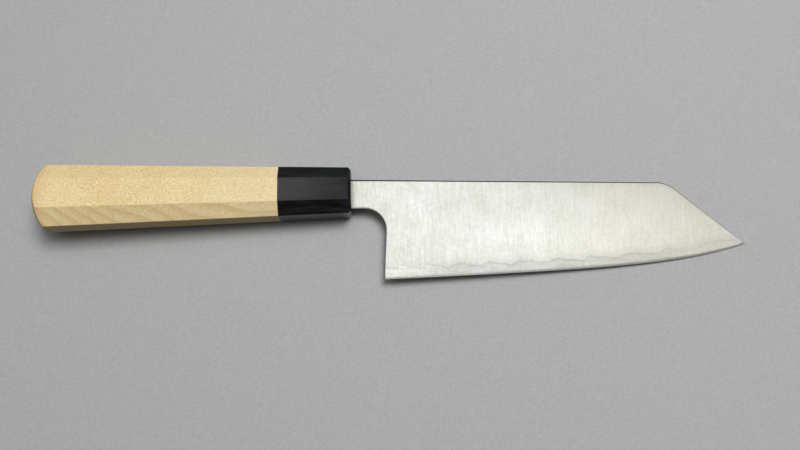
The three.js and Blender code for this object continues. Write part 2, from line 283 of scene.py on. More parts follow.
def row_places(first_guide):
    """Places of all rows as guide number plus share, from one guide row up to the spine.

    Rows crowd towards the notch's rim and towards the spine, where the corners are eased.
    """
    places = []
    for guide in range(first_guide, TOP_GUIDE):
        share = np.linspace(0, 1, ROW_STEPS[guide] + 1)[:-1]
        if guide == NOTCH_GUIDE:
            share = share**2
        if guide == EASE_GUIDE:
            share = np.sin(share * np.pi / 2)
        places.append(guide + share)
    return np.concatenate([*places, [float(TOP_GUIDE)]])


def between_guides(guides, places):
    """Straight mix between neighbouring guide rows, for every place and every station."""
    low = np.minimum(places.astype(int), EASE_GUIDE)
    share = (places - low)[:, None]
    return mix(guides[low], guides[low + 1], share)


def notch_distance(x, y):
    """Distance from the rim of the neck's underside, the round notch and the leaning heel."""
    round_part = np.hypot(x - NECK_RUN, y - NOTCH_END_Y) - CHOIL_RADIUS
    lean = HEEL_LEAN / (NOTCH_END_Y - HEEL_Y)
    heel_part = x - NOTCH_END_X + lean * (NOTCH_END_Y - y)
    above = np.where(x < NECK_RUN, y - NECK_BOTTOM, round_part)
    return np.where(y < NOTCH_END_Y, heel_part, above)


def quarter_round(share):
    """Depth of a quarter circle below its flat: one minus the root of one minus share squared."""
    share = np.clip(share, 0, 1)
    return 1 - np.sqrt(1 - share * share)


def eased(surface, core, x, y, spine_share):
    """Surface with its corners along the spine and the notch rounded towards the core."""
    rim = quarter_round(1 - notch_distance(x, y) / NOTCH_EASE)
    shown = np.clip(1 + x / NECK_INSET, 0, 1)
    depth = np.maximum(quarter_round(spine_share), rim) * shown
    return surface - EASE_SHARE * (surface - core) * depth


def blade_grid():
    """Stations from heel to tip by rows from edge to spine: x, y, core, surface, and three marks.

    Each station rises from the edge to the upper outline; the first ones lean with the heel. The
    marks are the distance above the wavy line, the share of the spine's eased corner, and the
    height above the edge as a share of the bevel's.
    """
    even = np.arange(HEEL_X + BLADE_STATION, TIP_X - BLADE_STATION / 2, BLADE_STATION)
    edge_x = np.concatenate([HEEL_X + HEEL_STATIONS, even, TIP_X - TIP_STATIONS])
    lean = HEEL_LEAN * np.maximum(0, 1 - (edge_x - HEEL_X) / LEAN_FADE)
    low = edge_y(edge_x)
    guides = guide_rows(edge_x, top_y(edge_x + lean) - low)
    up = between_guides(guides, row_places(EDGE_GUIDE))
    x = edge_x + lean * np.minimum(1, up / np.maximum(guides[NOTCH_GUIDE], TINY))
    y = low + up
    surface = ground_half(edge_x, up)
    at_line = ground_half(edge_x, guides[LINE_GUIDE])
    inner = np.minimum(CORE_SHARE * spine_half(x), (at_line + surface) / 2)
    core = np.where(up <= guides[LINE_GUIDE] + TINY, surface, inner)
    ease = np.maximum(guides[TOP_GUIDE] - guides[EASE_GUIDE], TINY)
    spine_share = (up - guides[EASE_GUIDE]) / ease
    surface = eased(surface, core, x, y, spine_share)
    line = np.clip(up - guides[LINE_GUIDE], -LINE_REACH, LINE_REACH)
    bevel = np.clip(up / np.maximum(guides[BEVEL_GUIDE], TINY), 0, BEVEL_REACH)
    return x, y, core, surface, line, np.clip(spine_share, 0, 1), bevel


def stem_grid():
    """Stations from the tang's end to the heel by rows from the underside to the spine.

    Every station is a straight line from the underside, which follows the tang, the neck and the
    round notch, to the spine. The ground face fades in from the neck to the heel.
    """
    turn = np.linspace(0, 1, NOTCH_STATIONS + 1)
    tang = np.linspace(-TANG_LENGTH, TANG_ROOT_X, TANG_STATIONS)
    plain = np.concatenate([tang, NECK_STATIONS])
    low_x = np.concatenate([plain, NECK_RUN + CHOIL_RADIUS * np.sin(turn * np.pi / 2)])
    round_y = NOTCH_END_Y + CHOIL_RADIUS * np.cos(turn * np.pi / 2)
    low_y = np.concatenate([np.interp(plain, STEM_X, STEM_LOW), round_y])
    high_x = np.concatenate([plain, mix(NECK_RUN, NOTCH_END_X, turn)])
    high_y = np.where(high_x < 0, np.interp(high_x, STEM_X, STEM_HIGH), top_y(high_x))
    ease = mix(SPINE_EASE_NECK, SPINE_EASE_TIP, (high_x - HEEL_LEAN) / TIP_X)
    ease = np.where(high_x < 0, SPINE_EASE_NECK, ease)
    places = row_places(NOTCH_GUIDE)
    below = NOTCH_GUIDE + 1  # guide rows that all lie on the underside
    x = between_guides(np.stack([low_x] * below + [high_x, high_x]), places)
    y = between_guides(np.stack([low_y] * below + [high_y - ease, high_y]), places)
    edge_x = x - HEEL_LEAN
    ground = ground_half(edge_x, y - edge_y(edge_x))
    fade = smooth((x - NECK_RUN) / CHOIL_RADIUS)
    surface = mix(spine_half(x), ground, fade)
    core = CORE_SHARE * spine_half(x)
    spine_share = np.clip((y - high_y + ease) / ease, 0, 1)
    surface = eased(surface, core, x, y, spine_share)
    line, bevel = np.full_like(x, LINE_REACH), np.full_like(x, BEVEL_REACH)
    return x, y, core, surface, line, spine_share, bevel


CORE_FACE, OUTER_FACE = 2, 3  # where a grid holds the half thickness of core and surface


def sheet_of(grid, first_row, face, side):
    """Points of a face on one side, with their three marks: (rows, stations, 6)."""
    x, y, _, _, *marks = (values[first_row:] for values in grid)
    return np.stack([x, y, side * grid[face][first_row:], *marks], axis=-1)


def layer_sheets(upper, lower, first_guide):
    """Sheets of one blade layer: two faces over both grids, and walls along its whole rim.

    Upper and lower are pairs of a face and a side, 1 for the right one and -1 for the left one.
    """
    blade, stem = blade_grid(), stem_grid()
    first = int(np.searchsorted(row_places(EDGE_GUIDE), first_guide))
    notch = int(np.searchsorted(row_places(EDGE_GUIDE), NOTCH_GUIDE)) - first
    blade_top, blade_low = (sheet_of(blade, first, *face) for face in (upper, lower))
    stem_top, stem_low = (sheet_of(stem, 0, *face) for face in (upper, lower))
    walls = [
        np.stack([blade_top[-1], blade_low[-1]]),
        np.stack([stem_top[-1], stem_low[-1]]),
        np.stack([stem_top[0], stem_low[0]]),
        np.stack([stem_top[:, 0], stem_low[:, 0]]),
        np.stack([blade_top[: notch + 1, 0], blade_low[: notch + 1, 0]]),
    ]
    return [blade_top, blade_low, stem_top, stem_low, *walls]


# Handle.


def section_corners(x, inset=0.0):
    """Eight corners of the handle's section at x, drawn in by an inset: two numbers, y and z.

    Half sizes run straight from the front to the butt; one slope keeps the slanting facets flat.
    """
    drawn_in = inset * np.array([1, 1, math.tan(FACET_ANGLE / 2)])
    high, thick, flat = mix(FRONT_HALVES, BUTT_HALVES, -x / HANDLE_LENGTH) - drawn_in
    side = thick - (high - flat) * math.tan(FACET_ANGLE)
    right = np.array([[high, side], [flat, thick], [-flat, thick], [-high, side]])
    return np.concatenate([right, right[::-1] * [1, -1]])


def rounded_section(x, radius, inset=0.0):
    """The section with a parabola in each corner, which touches both facets near the radius."""
    corners = section_corners(x, inset)
    before = unit(np.roll(corners, 1, axis=0) - corners)
    after = unit(np.roll(corners, -1, axis=0) - corners)
    turn = np.pi - np.arccos(np.sum(before * after, axis=1))
    reach = radius * np.tan(turn / 2)[:, None]
    start, end = corners + reach * before, corners + reach * after
    t = np.linspace(0, 1, CORNER_POINTS)[None, :, None]
    arcs = parabola(start[:, None], corners[:, None], end[:, None], t)
    t = np.linspace(0, 1, SIDE_POINTS + 2)[None, 1:-1, None]
    sides = mix(end[:, None], np.roll(start, -1, axis=0)[:, None], t)
    return np.concatenate([arcs, sides], axis=1).reshape(-1, 2)


def ring_and_light_shares():
    """How clearly each point of a section shows growth rings, least on the two broad flats; the
    same share makes the slanting facets paler as painted light.
    """
    facets = np.array([0.33, 0.1, 0.7, 0.5, 0.7, 0.1, 0.33, 0.5])
    t = np.linspace(0, 1, CORNER_POINTS)
    arcs = mix(np.roll(facets, 1)[:, None], facets[:, None], t)
    sides = np.repeat(facets[:, None], SIDE_POINTS, axis=1)
    return np.concatenate([arcs, sides], axis=1).ravel()


def ring(x, section):
    """A section of y and z pairs set up at x."""
    return np.column_stack([np.broadcast_to(x, len(section)), section])


def circle_section(section, radius):
    """Circle about the handle's axis, point by point at the same angles as a section."""
    return unit(section) * radius


def slot_section(section, x):
    """Rectangle around the tang at x, met by rays from the axis at the same angles as a section.

    The ray nearest to each corner of the rectangle goes to the corner itself.
    """
    at = max(x, -TANG_LENGTH)
    low = np.interp(at, STEM_X, STEM_LOW) - SLOT_GAP
    high = np.interp(at, STEM_X, STEM_HIGH) + SLOT_GAP
    half = float(spine_half(np.array(min(at, 0.0)))) + SLOT_GAP
    ray = unit(section)
    reach_y = np.where(ray[:, 0] > 0, high, low) / np.where(ray[:, 0] == 0, TINY, ray[:, 0])
    reach_z = half / np.maximum(np.abs(ray[:, 1]), TINY)
    found = ray * np.minimum(reach_y, reach_z)[:, None]
    corners = np.array([[high, half], [low, half], [low, -half], [high, -half]])
    found[np.argmax(ray @ unit(corners).T, axis=0)] = corners
    return found


def body_rings():
    """Rings of the wooden body: dome, its rounded rim, facets, front face, dowel hole, tang slot.

    Each point of the section runs along a straight line from the front to the butt. Where that
    line meets the dome's sphere is a root of a quadratic. Inside the rim the ring shrinks towards
    the axis on the sphere, and a parabola rounds the rim.
    """
    front_x = -FERRULE_LENGTH - GLUE_LINE
    at_zero = rounded_section(0.0, WOOD_EDGE_RADIUS)
    slope = (at_zero - rounded_section(-HANDLE_LENGTH, WOOD_EDGE_RADIUS)) / HANDLE_LENGTH
    centre = DOME_RADIUS - HANDLE_LENGTH
    a = 1 + np.sum(slope**2, axis=1)
    b = np.sum(at_zero * slope, axis=1) - centre
    c = np.sum(at_zero**2, axis=1) + centre**2 - DOME_RADIUS**2
    rim_x = (-b - np.sqrt(b * b - a * c)) / a

    def on_facet(x):
        return np.column_stack([x, at_zero + slope * x[:, None]])

    rim = on_facet(rim_x)
    rim_radius = np.linalg.norm(rim[:, 1:], axis=1)

    def on_dome(shrink):
        across = rim[:, 1:] * shrink[:, None]
        drop = np.sqrt(DOME_RADIUS**2 - (rim_radius * shrink) ** 2)
        return np.column_stack([centre - drop, across])

    inner = 1 - DOME_EDGE_REACH / rim_radius
    outer_x = rim_x + DOME_EDGE_REACH
    start, end = on_dome(inner), on_facet(outer_x)
    rings = [on_dome(inner * share) for share in np.linspace(0, 1, DOME_RINGS)]
    rings += [parabola(start, rim, end, t) for t in np.linspace(0, 1, RIM_RINGS)[1:-1]]
    run = np.linspace(0, 1, FACET_RINGS)
    rings += [on_facet(mix(outer_x, front_x, share)) for share in run]
    section = rings[-1][:, 1:]
    hole = circle_section(section, HOLE_RADIUS)
    rings += [
        ring(front_x, hole),
        ring(HOLE_BACK, hole),
        ring(HOLE_BACK, slot_section(section, HOLE_BACK)),
        ring(SLOT_END, slot_section(section, SLOT_END)),
        ring(SLOT_END, section * 0),
    ]
    return np.stack(rings)


def ferrule_rings():
    """Rings of the ferrule: outside from the rear, chamfer, front face, tang slot, dowel hole."""

    def outside(x, inset=0.0):
        return ring(x, rounded_section(x, FERRULE_EDGE_RADIUS, inset))

    run = np.linspace(-FERRULE_LENGTH, -FERRULE_CHAMFER - CHAMFER_EDGE_REACH, FERRULE_RINGS)
    rings = [outside(x) for x in run]
    rear = rings[0]
    share = CHAMFER_EDGE_REACH / FERRULE_CHAMFER
    brow, lip = outside(-FERRULE_CHAMFER), outside(0.0, FERRULE_CHAMFER)
    face = outside(0.0, FERRULE_CHAMFER * (1 + share))
    bends = (
        (rings[-1], brow, mix(brow, lip, share)),
        (mix(lip, brow, share), lip, face),
    )
    for bend in bends:
        rings += [parabola(*bend, t) for t in np.linspace(0, 1, CHAMFER_RINGS)]
    section = lip[:, 1:]
    slot_run = (0.0, -NECK_INSET, TANG_ROOT_X, HOLE_FRONT)
    rings += [ring(x, slot_section(section, x)) for x in slot_run]
    hole = circle_section(section, HOLE_RADIUS)
    rings += [ring(HOLE_FRONT, hole), ring(-FERRULE_LENGTH, hole), rear]
    return np.stack(rings)


# Meshes.


def grid_faces(rows, columns, start):
    """Quads between neighbouring points of a grid whose first point has the given number."""
    number = start + np.arange(rows * columns).reshape(rows, columns)
    corners = [number[:-1, :-1], number[:-1, 1:], number[1:, 1:], number[1:, :-1]]
    return np.stack(corners, axis=-1).reshape(-1, 4)


def lay_flow(mesh):
    """A UV map for the brushing: u is x plus z, v is y plus z, so that no wall collapses in it."""
    places = np.empty(3 * len(mesh.vertices), np.float32)
    mesh.vertices.foreach_get("co", places)
    corners = np.empty(len(mesh.loops), np.int32)
    mesh.loops.foreach_get("vertex_index", corners)
    x, y, z = places.reshape(-1, 3)[corners].T
    flow = mesh.uv_layers.new(name=FLOW_MAP)
    flow.data.foreach_set("uv", np.column_stack([x + z, y + z]).ravel())


def make_piece(name, sheets, marks, crease):
    """A closed mesh from sheets of points and their marks, joined where sheets meet."""
    points, faces, count = [], [], 0
    for sheet in sheets:
        rows, columns, width = sheet.shape
        points.append(sheet.reshape(-1, width))
        faces.append(grid_faces(rows, columns, count))
        count += rows * columns
    points, faces = np.concatenate(points), np.concatenate(faces)
    mesh = bpy.data.meshes.new(name)
    mesh.from_pydata(place(points[:, :3]), [], faces.tolist())
    for mark, values in zip(marks, points[:, 3:].T):
        attribute = mesh.attributes.new(mark, "FLOAT", "POINT")
        attribute.data.foreach_set("value", values.astype(np.float32))
    shell = bmesh.new()
    shell.from_mesh(mesh)
    bmesh.ops.remove_doubles(shell, verts=shell.verts, dist=JOIN_DISTANCE)
    bmesh.ops.recalc_face_normals(shell, faces=shell.faces)
    shell.to_mesh(mesh)
    shell.free()
    mesh.shade_smooth()
    mesh.set_sharp_from_angle(angle=math.radians(crease))
    lay_flow(mesh)
    piece = bpy.data.objects.new(name, mesh)
    bpy.context.scene.collection.objects.link(piece)
    return piece


def marked(rings, values):
    """Rings with a marked value for each point of their section."""
    marks = np.broadcast_to(values[:, None], (*rings.shape[:2], 1))
    return np.concatenate([rings, marks], axis=2)


def closed(rings):
    """Rings whose section ends at the point where it starts."""
    return np.concatenate([rings, rings[:, :1]], axis=1)


# Finishes.


def paint(red, green, blue):
    """Screen colour from 0 to 255 as the linear colour that a shader takes."""
    screen = np.array([red, green, blue]) / 255
    linear = np.where(screen <= 0.04045, screen / 12.92, ((screen + 0.055) / 1.055) ** 2.4)
    return (*(float(v) for v in linear), 1.0)


def feed(tree, node, inputs):
    """Gives a node's inputs their plain values, or links them to the sockets that feed them."""
    for key, value in inputs.items():
        if isinstance(value, bpy.types.NodeSocket):
            tree.links.new(value, node.inputs[key])
        else:
            node.inputs[key].default_value = value


def add(tree, kind, inputs=None, **settings):
    """A shader node with its settings and its inputs."""
    made = tree.nodes.new("ShaderNode" + kind)
    for key, value in settings.items():
        setattr(made, key, value)
    feed(tree, made, inputs or {})
    return made


def calculate(tree, operation, *values):
    """Output of a Math node."""
    return add(tree, "Math", dict(enumerate(values)), operation=operation).outputs[0]


def weigh(tree, first, second, share):
    """Sum of two values, the first weighted by a share and the second by the rest."""
    rest = calculate(tree, "MULTIPLY", second, 1 - share)
    return calculate(tree, "MULTIPLY_ADD", first, share, rest)


def blend(tree, share, low, high, way="MIX"):
    """Output of a colour Mix node."""
    node = add(tree, "Mix", {0: share, 6: low, 7: high}, data_type="RGBA", blend_type=way)
    return node.outputs[2]


def spread(tree, value, low, high, to_low=0.0, to_high=1.0, way="LINEAR"):
    """Output of a Map Range node."""
    inputs = {0: value, 1: low, 2: high, 3: to_low, 4: to_high}
    return add(tree, "MapRange", inputs, interpolation_type=way).outputs[0]


def soften(tree, value, low, high, to_low=0.0, to_high=1.0):
    """Output of a Map Range node with soft ends."""
    return spread(tree, value, low, high, to_low, to_high, way="SMOOTHSTEP")


def new_group(name, inputs, outputs):
    """An empty shader group with its sockets, and its own input and output nodes."""
    group = bpy.data.node_groups.new(name, "ShaderNodeTree")
    for socket, kind in inputs.items():
        group.interface.new_socket(socket, in_out="INPUT", socket_type="NodeSocket" + kind)
    for socket in outputs:
        group.interface.new_socket(socket, in_out="OUTPUT", socket_type="NodeSocketFloat")
    return group, group.nodes.new("NodeGroupInput"), group.nodes.new("NodeGroupOutput")


def hairline_group():
    """Fine parallel lines along Y: noise that is stretched far along the line."""
    inputs = {"Coordinates": "Vector", "Across": "Float", "Along": "Float"}
    group, given, put = new_group("hairlines", inputs, ["Lines"])
    parts = add(group, "SeparateXYZ", {0: given.outputs["Coordinates"]})
    across = calculate(group, "MULTIPLY", parts.outputs[0], given.outputs["Across"])
    along = calculate(group, "MULTIPLY", parts.outputs[1], given.outputs["Along"])
    depth = calculate(group, "MULTIPLY", parts.outputs[2], given.outputs["Across"])
    stretched = add(group, "CombineXYZ", {0: across, 1: along, 2: depth}).outputs[0]
    values = {"Vector": stretched, "Scale": 1.0, "Detail": 4.0, "Roughness": 0.65}
    noise = add(group, "TexNoise", values).outputs[0]
    feed(group, put, {"Lines": spread(group, noise, 0.3, 0.7)})
    return group


def mottle_group():
    """Soft clouds of a given size, from 0 to 1."""
    inputs = {"Coordinates": "Vector", "Size": "Float"}
    group, given, put = new_group("mottle", inputs, ["Clouds"])
    scale = calculate(group, "DIVIDE", 1.0, given.outputs["Size"])
    values = {"Vector": given.outputs["Coordinates"], "Scale": scale, "Detail": 3.0}
    noise = add(group, "TexNoise", values).outputs[0]
    feed(group, put, {"Clouds": soften(group, noise, 0.3, 0.7)})
    return group


def grain_group():
    """Wood grain along X: short flecks, long fibres, and growth rings cut at a slant.

    Flecks and fibres are stretched noise. The rings' count is a slope along each axis plus a part
    that grows with the square of x, bent by soft noise. Within one count a ring darkens slowly
    and ends in a crisp line.
    """
    inputs = {
        "Coordinates": "Vector",
        "Ring Slopes": "Vector",
        "Ring Curve": "Float",
        "Ring Bend": "Float",
        "Fleck Length": "Float",
        "Fleck Width": "Float",
        "Fleck Slope": "Float",
    }
    group, given, put = new_group("wood_grain", inputs, ["Flecks", "Fibres", "Rings"])
    where = given.outputs["Coordinates"]
    parts = add(group, "SeparateXYZ", {0: where}).outputs
    sloped = calculate(group, "MULTIPLY_ADD", parts[0], given.outputs["Fleck Slope"], parts[1])

    def stretched_noise(length, width, detail):
        along = calculate(group, "DIVIDE", parts[0], length)
        across = calculate(group, "DIVIDE", sloped, width)
        deep = calculate(group, "DIVIDE", parts[2], width)
        vector = add(group, "CombineXYZ", {0: along, 1: across, 2: deep}).outputs[0]
        values = {"Vector": vector, "Scale": 1.0, "Detail": detail}
        return add(group, "TexNoise", values).outputs[0]

    flecks = stretched_noise(given.outputs["Fleck Length"], given.outputs["Fleck Width"], 2.0)
    fibre_length = calculate(group, "MULTIPLY", given.outputs["Fleck Length"], 9.0)
    fibre_width = calculate(group, "MULTIPLY", given.outputs["Fleck Width"], 0.8)
    fibres = stretched_noise(fibre_length, fibre_width, 3.0)
    bend = add(group, "TexNoise", {"Vector": where, "Scale": 30.0, "Detail": 1.5}).outputs[0]
    pair = {0: where, 1: given.outputs["Ring Slopes"]}
    slopes = add(group, "VectorMath", pair, operation="DOT_PRODUCT").outputs["Value"]
    square = calculate(group, "MULTIPLY", parts[0], parts[0])
    count = calculate(group, "MULTIPLY_ADD", square, given.outputs["Ring Curve"], slopes)
    bent = calculate(group, "MULTIPLY_ADD", bend, given.outputs["Ring Bend"], count)
    part = calculate(group, "FRACT", bent)
    dark = soften(group, part, 0.25, 0.92)
    fall = soften(group, part, 0.93, 1.0, 1.0, 0.0)
    results = {
        "Flecks": soften(group, flecks, 0.4, 0.62),
        "Fibres": soften(group, fibres, 0.4, 0.65),
        "Rings": calculate(group, "MULTIPLY", dark, fall),
    }
    feed(group, put, results)
    return group


HAIRLINES, MOTTLE, GRAIN = hairline_group(), mottle_group(), grain_group()


def new_finish(name):
    """A material with a Principled shader: its tree, the shader and Object coordinates."""
    material = bpy.data.materials.new(name)
    material.use_nodes = True
    tree = material.node_tree
    shader = tree.nodes["Principled BSDF"]
    return material, tree, shader, add(tree, "TexCoord").outputs["Object"]


def hairlines(tree, where, across, along):
    """Fine parallel lines, so many to the metre across and along them."""
    inputs = {"Coordinates": where, "Across": across, "Along": along}
    return add(tree, "Group", inputs, node_tree=HAIRLINES).outputs["Lines"]


def mottle(tree, where, size):
    """Soft clouds of a size in metres."""
    return add(tree, "Group", {"Coordinates": where, "Size": size}, node_tree=MOTTLE).outputs[0]


def crosswise(tree, where):
    """Coordinates turned by a quarter about Z, for lines along X."""
    inputs = {"Vector": where, "Rotation": (0, 0, math.pi / 2)}
    return add(tree, "Mapping", inputs).outputs[0]


def mark_of(tree, name):
    """A value that the mesh carries at each point."""
    return add(tree, "Attribute", attribute_name=name).outputs["Fac"]


def along_knife(tree, where):
    """Place along the knife, in metres."""
    return add(tree, "SeparateXYZ", {0: where}).outputs[0]


def relief(tree, height, distance, strength=1.0):
    """A bumped normal; distance is the relief's full height in metres."""
    inputs = {"Height": height, "Distance": distance, "Strength": strength}
    return add(tree, "Bump", inputs).outputs[0]


def tone_steps(tree, value, steps):
    """Grey factors read off a value by straight lines between the given steps."""
    places, greys = zip(*steps)
    ramp = add(tree, "ValToRGB", {0: spread(tree, value, places[0], places[-1])})
    marks = ramp.color_ramp.elements
    while len(marks) < len(steps):
        marks.new(0.5)
    for mark, at, grey in zip(marks, places, greys):
        mark.position = (at - places[0]) / (places[-1] - places[0])
        mark.color = (grey, grey, grey, 1)
    return ramp.outputs[0]


# Steel: the light, dark and quiet tone of the hairlines, grey factors by millimetres above the
# wavy line, tints of its zones with painted shade, and a painted dark reflection for the spine.
CLADDING_TONES = paint(222, 223, 219), paint(182, 183, 179), paint(200, 201, 197)
CORE_TONES = paint(236, 237, 234), paint(192, 193, 190), paint(208, 209, 206)
CLADDING_BANDS = ((0.0, 0.84), (1.2, 0.89), (3.5, 0.965), (10.0, 0.97))
CORE_BANDS = ((-5.0, 0.69), (-4.0, 0.71), (-2.0, 0.72), (-0.8, 0.7), (0.0, 0.64))
STAIN_TINT = paint(245, 244, 238)
# painted shade that darkens the neck
NECK_PAINTED_SHADE = paint(240, 240, 236)
# warm tint with painted shade that darkens the steel towards the tip; lighter and cooler at the
# tip itself
FAR_TINT_AND_SHADE = paint(233, 230, 219)
TIP_TINT_AND_SHADE = paint(240, 236, 234)
LINE_TONE = paint(120, 120, 114)
# painted dark reflection for the spine's eased corner
SPINE_DARK_REFLECTION = paint(54, 52, 50)

# Where the steel's look changes along the knife, in metres of the row frame.
NECK_SHADE_ZONE = (-0.018, 0.004)
HEEL_ZONE = (0.002, 0.03)
QUIET_ZONE = (0.0, 0.13)
STAIN_ZONE = (0.03, 0.13)
FAR_ZONE = (0.05, 0.16)
LINE_ZONE = (0.1, 0.15)
BAND_ZONE = (0.112, 0.15)
SPINE_REFLECTION_FADE_ZONE = (0.118, 0.15)
TIP_ZONE = (0.146, 0.158)


def satin_colour(tree, where, tone, tones):
    """Brushed colour: the tone picks between dark and light, and tints follow the blade.

    Towards the tip dark turns into quiet, and a warm tint with painted shade comes in, which is
    lighter and cooler at the tip. The neck gets painted shade, and faint stains lie on the whole.
    """
    light, dark, quiet = tones
    along = along_knife(tree, where)
    stain = mottle(tree, where, 0.012)
    deep = blend(tree, spread(tree, along, *QUIET_ZONE), dark, quiet)
    stained = calculate(tree, "MULTIPLY", stain, spread(tree, along, *STAIN_ZONE, 1.0, 0.4))
    brushed = blend(tree, tone, deep, light)
    satin = blend(tree, stained, brushed, STAIN_TINT, way="MULTIPLY")
    # painted shade: the steel is darkened at the neck
    neck_shade_share = spread(tree, along, *NECK_SHADE_ZONE, 1.0, 0.0)
    neck_shaded = blend(tree, neck_shade_share, satin, NECK_PAINTED_SHADE, way="MULTIPLY")
    # warm tint with painted shade towards the tip, lighter and cooler at the tip
    far_tint_and_shade = blend(tree, spread(tree, along, *TIP_ZONE), FAR_TINT_AND_SHADE, TIP_TINT_AND_SHADE)
    return blend(tree, spread(tree, along, *FAR_ZONE), neck_shaded, far_tint_and_shade, way="MULTIPLY")


def banded_colour(tree, where, colour, bands):
    """Colour with bands along the wavy line, a thin line on it, and painted dark reflection on the
    spine.

    The bands fade out at the heel, towards the tip and on the bevel. The eased corner along the
    spine gets a painted dark reflection, which fades towards the tip.
    """
    along = along_knife(tree, where)
    distance = mark_of(tree, "line_distance")
    past_heel = soften(tree, along, *HEEL_ZONE, 0.15, 1.0)
    short_of_tip = soften(tree, along, *BAND_ZONE, 1.0, 0.5)
    past_bevel = spread(tree, mark_of(tree, "bevel_share"), 0.98, 1.06)
    on_face = calculate(tree, "MULTIPLY", past_heel, short_of_tip)
    shown = calculate(tree, "MULTIPLY", on_face, past_bevel)
    banded = blend(tree, shown, colour, tone_steps(tree, distance, bands), way="MULTIPLY")
    near = soften(tree, calculate(tree, "ABSOLUTE", distance), 0.05, 0.4, 1.0, 0.0)
    clear = spread(tree, along, *LINE_ZONE, 0.24, 0.04)
    lined = blend(tree, calculate(tree, "MULTIPLY", near, clear), banded, LINE_TONE)
    # painted dark reflection on the eased corner along the spine, fading towards the tip
    reflection_fade = soften(tree, along, *SPINE_REFLECTION_FADE_ZONE, 0.95, 0.3)
    corner = soften(tree, mark_of(tree, "spine_share"), 0.0, 0.2)
    return blend(tree, calculate(tree, "MULTIPLY", corner, reflection_fade), lined, SPINE_DARK_REFLECTION)


def steel_finish(name, tones, bands, streaks):
    """Satin steel: hairlines from spine to edge, soft clouds, and bands along the wavy line.

    Streaks is the share of polishing lines along the edge.
    """
    material, tree, shader, where = new_finish(name)
    fine = hairlines(tree, where, 2600.0, 110.0)
    broad = hairlines(tree, where, 900.0, 70.0)
    lines = weigh(tree, broad, fine, 0.25)
    drawn = hairlines(tree, crosswise(tree, where), 1500.0, 40.0)
    brushed = add(tree, "Mix", {0: streaks, 2: lines, 3: drawn}).outputs[0]
    tone = weigh(tree, mottle(tree, where, 0.0016), brushed, 0.25)
    satin = satin_colour(tree, where, tone, tones)
    brushing = add(tree, "Tangent", direction_type="UV_MAP", uv_map=FLOW_MAP)
    inputs = {
        "Base Color": banded_colour(tree, where, satin, bands),
        "Roughness": spread(tree, tone, 0.0, 1.0, 0.31, 0.27),
        "Metallic": 1.0,
        "Anisotropic": 0.9,
        "Tangent": brushing.outputs[0],
        "Normal": relief(tree, lines, 1.5e-6),
    }
    feed(tree, shader, inputs)
    return material


# Where the wood's tone changes along the handle, in metres of the row frame.
PALE_ZONE = (-0.11, -0.05)
RIM_ZONE = (-0.1605, -0.151)


def wood_finish():
    """Pale oiled wood: fine flecks and fibres, and rings that show most on the slanting facets.

    The broad flats are warm near the butt and pale near the ferrule, the slanting facets are made
    paler as painted light, most of all the lower one, and the dome's rim is darker.
    """
    material, tree, shader, where = new_finish("pale_wood")
    values = {
        "Coordinates": where,
        "Ring Slopes": (-26.0, 0.0, 281.0),
        "Ring Curve": -490.0,
        "Ring Bend": 1.6,
        "Fleck Length": 0.001,
        "Fleck Width": 0.00032,
        "Fleck Slope": 0.35,
    }
    grain = add(tree, "Group", values, node_tree=GRAIN).outputs
    patches = mottle(tree, where, 0.02)
    along = along_knife(tree, where)
    share = mark_of(tree, "ring_and_light_share")
    warm = blend(tree, patches, paint(220, 189, 132), paint(227, 204, 152))
    pale = blend(tree, patches, paint(219, 200, 154), paint(227, 211, 169))
    flat_sawn = blend(tree, spread(tree, along, *PALE_ZONE), warm, pale)
    # painted light: the slanting facets, the lower one most, are made paler where they get less
    # light
    painted_light_share = spread(tree, share, 0.3, 0.7, 0.0, 0.6)
    base = blend(tree, painted_light_share, flat_sawn, paint(248, 227, 178))
    rings = calculate(tree, "MULTIPLY", grain["Rings"], share)
    ringed = blend(tree, rings, base, paint(213, 183, 127))
    fibre_share = spread(tree, share, 0.1, 0.33, 0.4, 0.65)
    fibres = calculate(tree, "MULTIPLY", grain["Fibres"], fibre_share)
    fibred = blend(tree, fibres, ringed, paint(206, 175, 120))
    fleck_share = spread(tree, share, 0.25, 0.7, 0.9, 0.35)
    flecks = calculate(tree, "MULTIPLY", grain["Flecks"], fleck_share)
    flecked = blend(tree, flecks, fibred, paint(241, 223, 177))
    rim = soften(tree, along, *RIM_ZONE, 0.7, 0.0)
    inputs = {
        "Base Color": blend(tree, rim, flecked, paint(212, 178, 122)),
        "Roughness": spread(tree, grain["Flecks"], 0, 1, 0.66, 0.52),
        "Specular IOR Level": 0.3,
        "Normal": relief(tree, grain["Fibres"], 2e-5, 0.5),
    }
    feed(tree, shader, inputs)
    return material


def ferrule_finish():
    """Polished black: long smears and fine scratches in the gloss."""
    material, tree, shader, where = new_finish("polished_black")
    drawn = add(tree, "Mapping", {"Vector": where, "Scale": (0.3, 1.6, 1.6)}).outputs[0]
    smears = spread(tree, mottle(tree, drawn, 0.005), 0.3, 0.9)
    lines = hairlines(tree, where, 1600.0, 200.0)
    wiped = hairlines(tree, crosswise(tree, where), 700.0, 60.0)
    scratch = spread(tree, lines, 0.75, 1.0)
    cloth = calculate(tree, "MULTIPLY", smears, spread(tree, wiped, 0.0, 1.0, 0.3, 1.0))
    haze = weigh(tree, scratch, cloth, 0.3)
    inputs = {
        "Base Color": blend(tree, haze, paint(2, 2, 3), paint(32, 37, 40)),
        "Roughness": spread(tree, haze, 0, 1, 0.12, 0.34),
        "Specular IOR Level": 0.23,
        "Normal": relief(tree, lines, 3e-6, 0.5),
    }
    feed(tree, shader, inputs)
    return material


